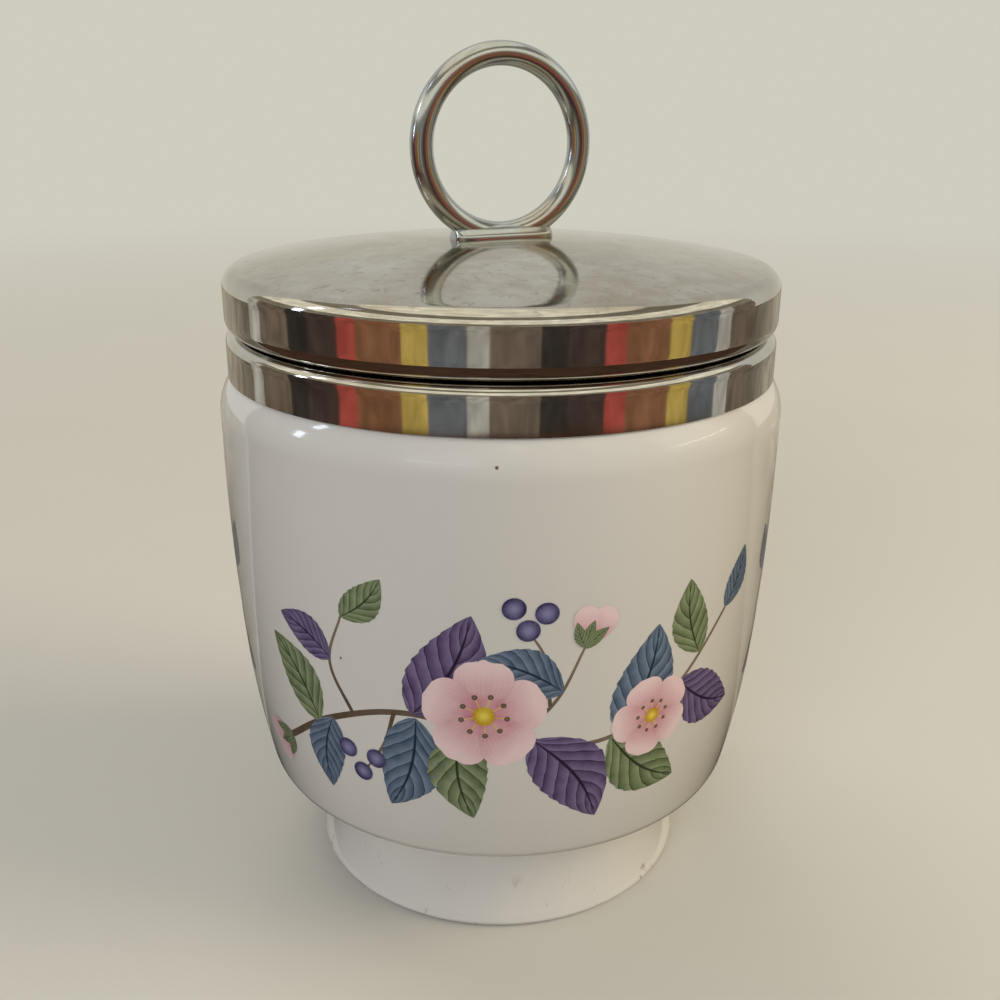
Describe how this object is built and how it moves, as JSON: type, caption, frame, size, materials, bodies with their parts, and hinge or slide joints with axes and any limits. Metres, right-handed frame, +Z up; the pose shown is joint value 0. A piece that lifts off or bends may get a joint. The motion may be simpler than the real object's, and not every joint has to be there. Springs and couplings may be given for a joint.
{
  "type": "egg coddler",
  "caption": "Small porcelain egg coddler: a glazed cup on a flared foot, with a plain metal collar cemented round its neck and a bright screw-on metal lid that carries an upright lifting ring.",
  "frame": {"origin": "centre of the foot, on the surface it stands on", "axes": "+Z up; the lifting ring lies in the XZ plane"},
  "size_m": [0.065, 0.065, 0.0977],
  "materials": {
    "porcelain": "white porcelain under a clear gloss glaze",
    "plated_metal": "bright chromium plate over pressed sheet",
    "cement": "set cement, matt and pale grey"
  },
  "bodies": {
    "base": {"cup": "porcelain", "collar_cement": "cement", "collar": "plated_metal"},
    "lid": {"lid_shell": "plated_metal", "lid_thread_band": "plated_metal", "ring_saddle": "plated_metal", "lifting_ring": "plated_metal"}
  },
  "joints": [
    {"name": "lid_lift", "type": "slide", "parent": "base", "child": "lid", "axis": [0, 0, 1], "range_m": [0, 0.03]}
  ]
}
